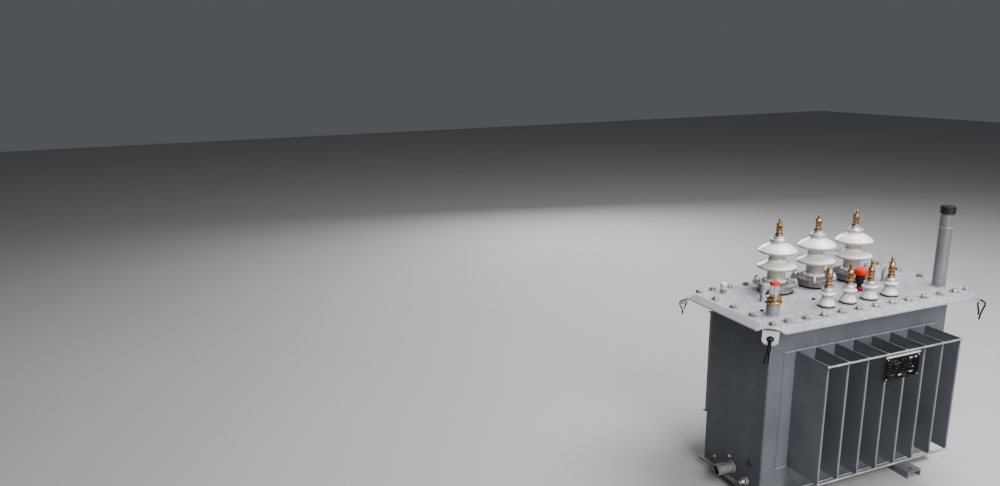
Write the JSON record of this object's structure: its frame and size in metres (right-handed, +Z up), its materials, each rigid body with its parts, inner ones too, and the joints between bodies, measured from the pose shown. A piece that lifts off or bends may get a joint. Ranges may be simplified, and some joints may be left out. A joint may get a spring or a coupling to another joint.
{
  "type": "power transformer",
  "caption": "Oil-filled distribution transformer: finned steel tank on channel feet, flat lid with porcelain bushings, filler pipe, oil gauge and tap changer knob.",
  "frame": {"origin": "on the ground under the middle of the tank, at the centre of the footprint", "axes": "+X along the tank's long side, towards the filler pipe; -Y towards the nameplate and the small low-voltage bushings; +Z up"},
  "size_m": [0.9808, 0.5944, 0.9717],
  "materials": {
    "tank_paint": "semi-gloss blue-grey enamel",
    "lid_paint": "light grey enamel, lightly weathered",
    "rubber": "matte black",
    "porcelain_glaze": "glossy cream-white glaze",
    "brass": "dull turned brass",
    "light_metal": "satin",
    "black_plastic": "satin black",
    "gauge_glass": "clear",
    "red_plastic": "faded red",
    "orange_plastic": "orange",
    "black_plate": "black enamelled plate"
  },
  "bodies": {
    "transformer": {"back_fin_panel": "tank_paint", "back_left_corner_lug": "lid_paint", "back_right_corner_lug": "lid_paint", "drain_valve": "tank_paint", "earth_terminal": "light_metal", "filler_cap": "black_plastic", "filler_pipe": "tank_paint", "front_fin_panel": "tank_paint", "front_left_corner_lug": "lid_paint", "front_right_corner_lug": "lid_paint", "gauge_cap": "red_plastic", "gauge_glass": "gauge_glass", "gauge_nuts": "brass", "gauge_stub": "tank_paint", "hv_clamp_1": "light_metal", "hv_clamp_2": "light_metal", "hv_clamp_3": "light_metal", "hv_insulator_1": "porcelain_glaze", "hv_insulator_2": "porcelain_glaze", "hv_insulator_3": "porcelain_glaze", "hv_terminal_1": "brass", "hv_terminal_2": "brass", "hv_terminal_3": "brass", "left_foot": "tank_paint", "left_lifting_lug": "lid_paint", "lid": "lid_paint", "lid_gasket": "rubber", "lv_insulator_1": "porcelain_glaze", "lv_insulator_2": "porcelain_glaze", "lv_insulator_3": "porcelain_glaze", "lv_insulator_4": "porcelain_glaze", "lv_terminal_1": "brass", "lv_terminal_2": "brass", "lv_terminal_3": "brass", "lv_terminal_4": "brass", "nameplate": "black_plate", "nameplate_bracket": "light_metal", "right_foot": "tank_paint", "right_lifting_lug": "lid_paint", "tank_body": "tank_paint", "tank_bottom_plate": "tank_paint", "tank_rim": "tank_paint", "tap_collar": "red_plastic", "tap_housing": "black_plastic", "thermometer_pocket": "light_metal"},
    "tap_knob": {"tap_knob": "orange_plastic"}
  },
  "joints": [
    {"name": "tap_knob_turn", "type": "hinge", "parent": "transformer", "child": "tap_knob", "pos_m": [0.091, -0.0356, 0.7352], "axis": [0, 0, 1], "range_deg": [-120, 120]}
  ]
}
